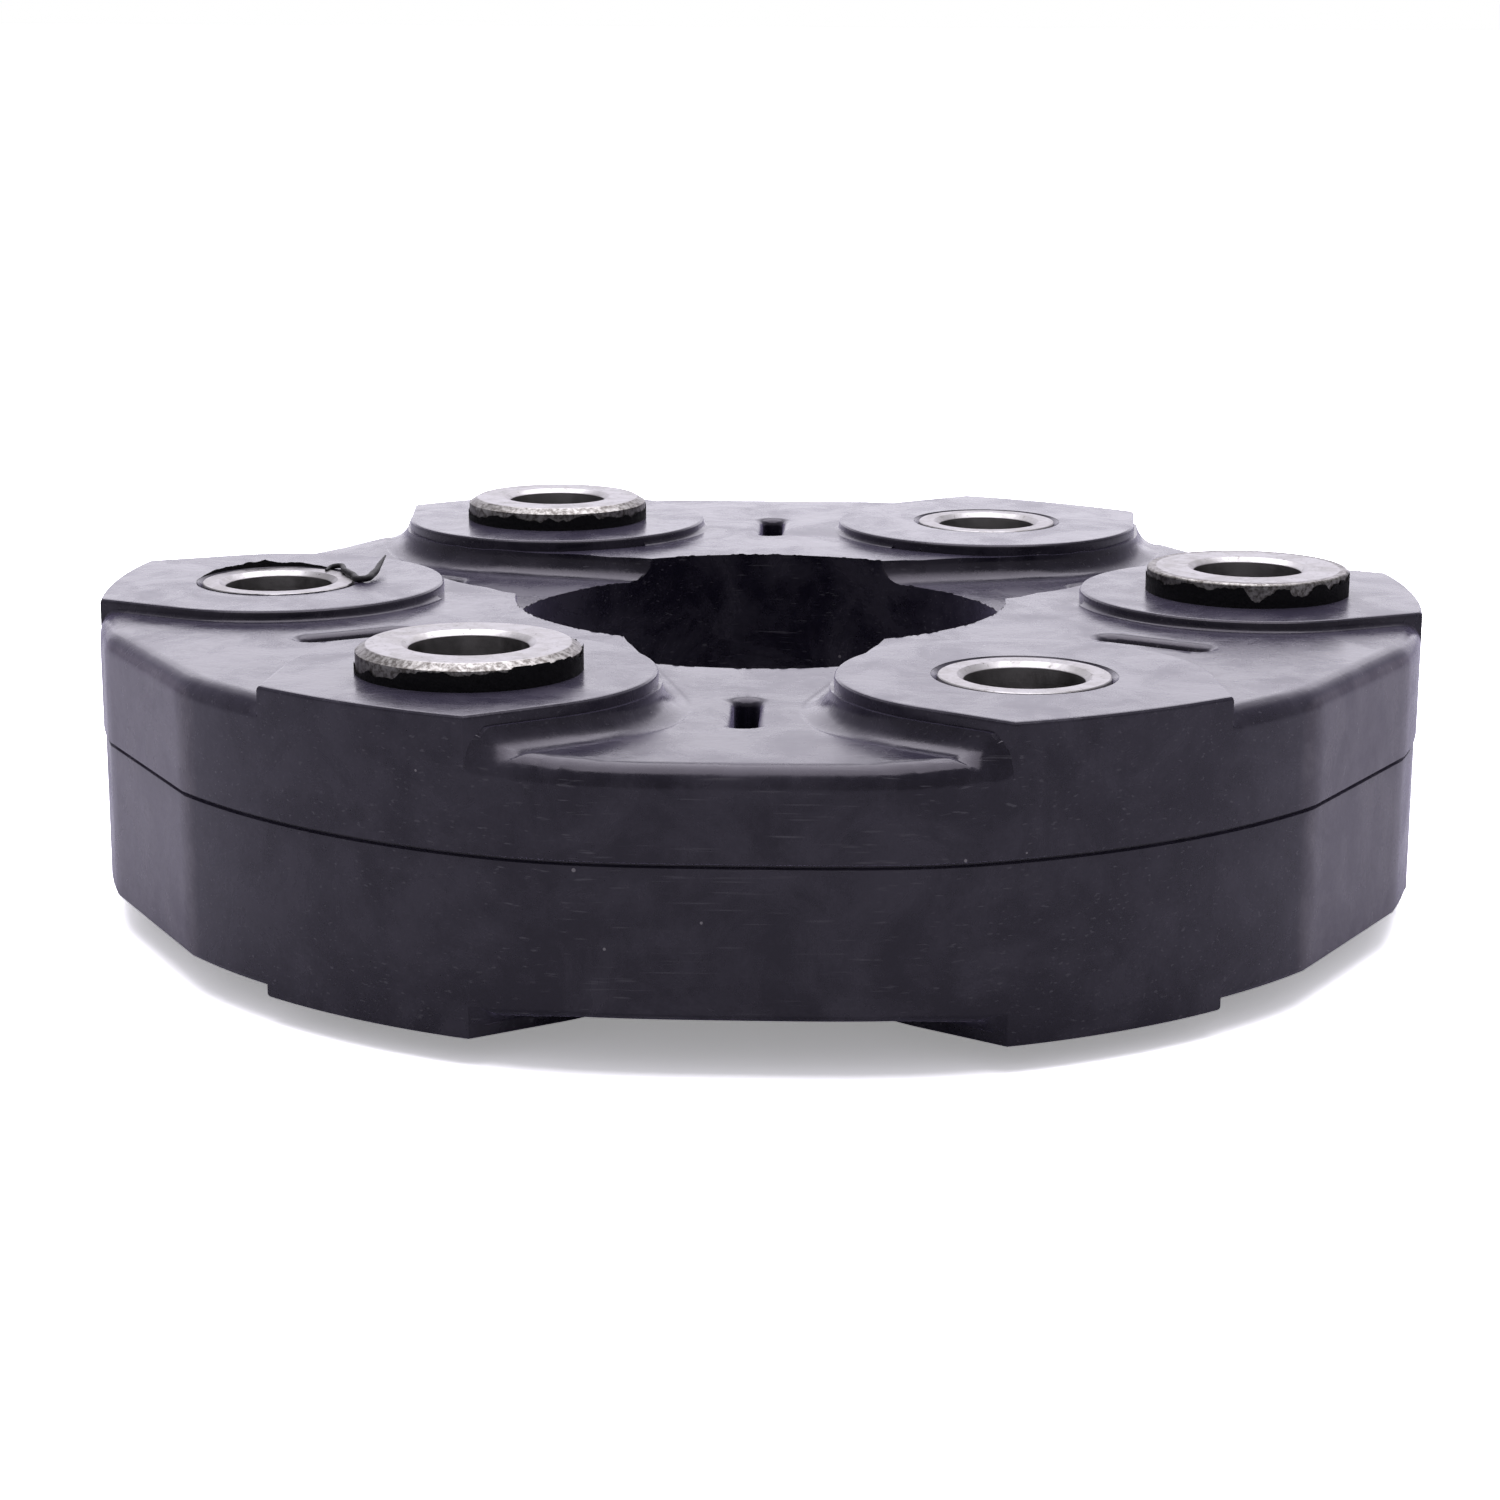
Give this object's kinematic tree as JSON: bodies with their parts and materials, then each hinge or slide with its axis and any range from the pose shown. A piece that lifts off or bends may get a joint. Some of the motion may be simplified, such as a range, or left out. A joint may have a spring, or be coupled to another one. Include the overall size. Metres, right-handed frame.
{
  "type": "flexible disc coupling",
  "caption": "Flexible drive shaft coupling: a rubber ring with raised pads and radial slots, steel bolt sleeves whose collars face alternate sides, and cord loops bedded inside.",
  "frame": {"origin": "on the shaft's axis, level with the faces of the lower collars, which the part rests on", "axes": "+Z along the shaft, out of the side seen in the picture; +X through the bolt sleeve on the right; the front of the picture is -Y"},
  "size_m": [0.1474, 0.145, 0.037],
  "materials": {
    "rubber": "moulded, satin",
    "steel": "turned and dulled",
    "cord": "wound textile cord"
  },
  "bodies": {
    "root": {"rubber_body": "rubber", "sleeve_right": "steel", "sleeve_back_right": "steel", "sleeve_back_left": "steel", "sleeve_left": "steel", "sleeve_front_left": "steel", "sleeve_front_right": "steel", "main_cord_back_right": "cord", "main_cord_back_left": "cord", "main_cord_front": "cord", "upper_cord_back": "cord", "lower_cord_back": "cord", "upper_cord_front_left": "cord", "lower_cord_front_left": "cord", "upper_cord_front_right": "cord", "lower_cord_front_right": "cord"}
  },
  "joints": []
}
